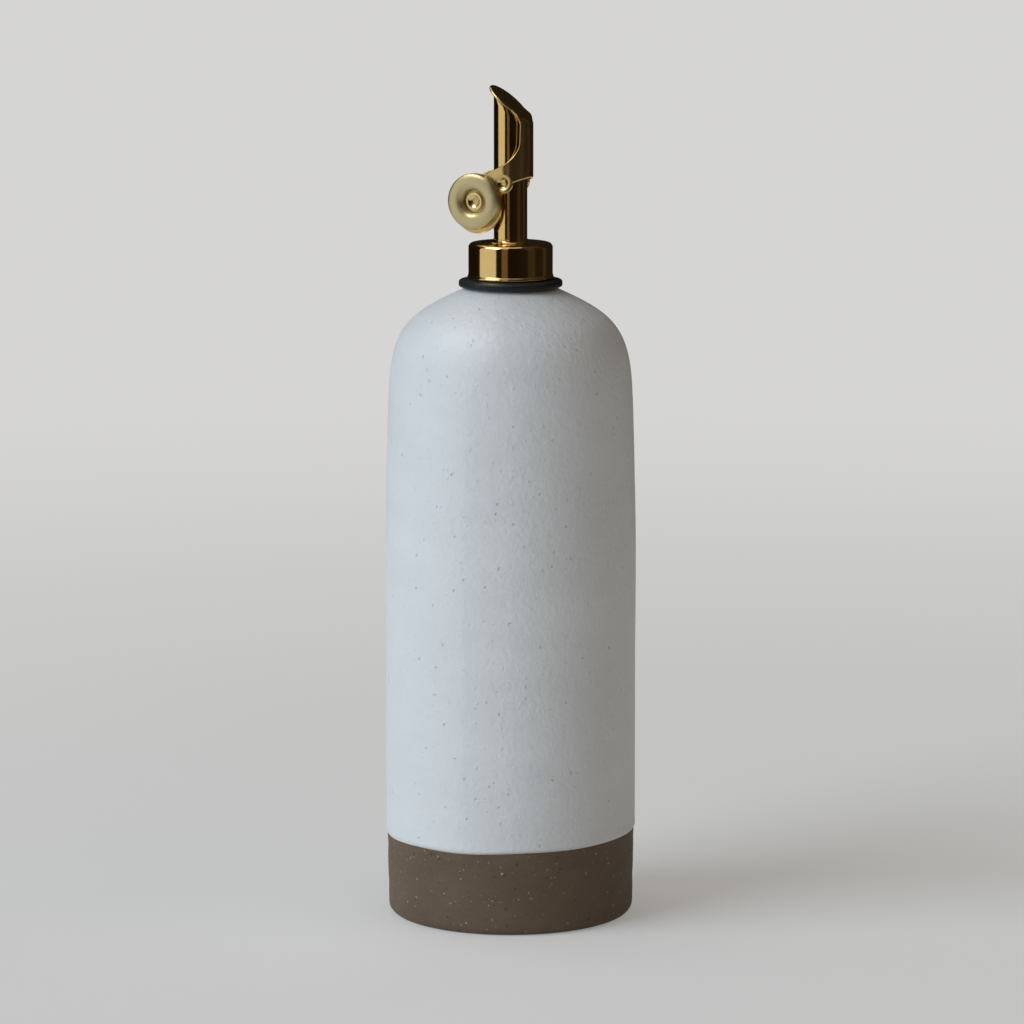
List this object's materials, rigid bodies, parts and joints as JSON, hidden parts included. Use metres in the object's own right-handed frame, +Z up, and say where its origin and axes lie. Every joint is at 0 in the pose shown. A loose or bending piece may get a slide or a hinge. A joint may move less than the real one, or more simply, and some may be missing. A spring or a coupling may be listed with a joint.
{
  "type": "dispenser bottle",
  "caption": "Tall round stoneware bottle with a stopper-mounted straight spout, closed by a weighted flap that swings open when the bottle is tipped.",
  "frame": {"origin": "middle of the foot, on the surface that the bottle stands on", "axes": "+Z up along the bottle's axis; it pours towards -X, the weights hang in front of the spout at -X, and the flap's hinge runs along Y"},
  "size_m": [0.078, 0.078, 0.2584],
  "materials": {
    "bare_clay": "matte, unglazed, speckled",
    "white_glaze": "satin",
    "liner_glaze": "gloss",
    "black_rubber": "satin",
    "core_plastic": "matte",
    "polished_brass": "polished",
    "satin_brass": "satin",
    "weight_brass": "satin",
    "stud_brass": "polished",
    "air_tube_steel": "drawn"
  },
  "bodies": {
    "bottle": {"clay_body": "bare_clay", "outer_glaze": "white_glaze", "liner_glaze": "liner_glaze"},
    "pourer": {"stopper": "black_rubber", "stopper_core": "core_plastic", "cap": "polished_brass", "spout_tube": "polished_brass", "air_tube": "air_tube_steel", "pivot_stud_near": "stud_brass", "pivot_stud_far": "stud_brass"},
    "flap": {"flap_lever": "satin_brass", "weight_near": "weight_brass", "weight_far": "weight_brass", "weight_spacer": "stud_brass", "weight_rivet": "stud_brass"}
  },
  "joints": [
    {"name": "pourer_lift", "type": "slide", "parent": "bottle", "child": "pourer", "axis": [0, 0, 1], "range_m": [0, 0.06]},
    {"name": "flap_swing", "type": "hinge", "parent": "pourer", "child": "flap", "pos_m": [0.0008, 0, 0.2287], "axis": [0, 1, 0], "range_deg": [0, 50]}
  ]
}
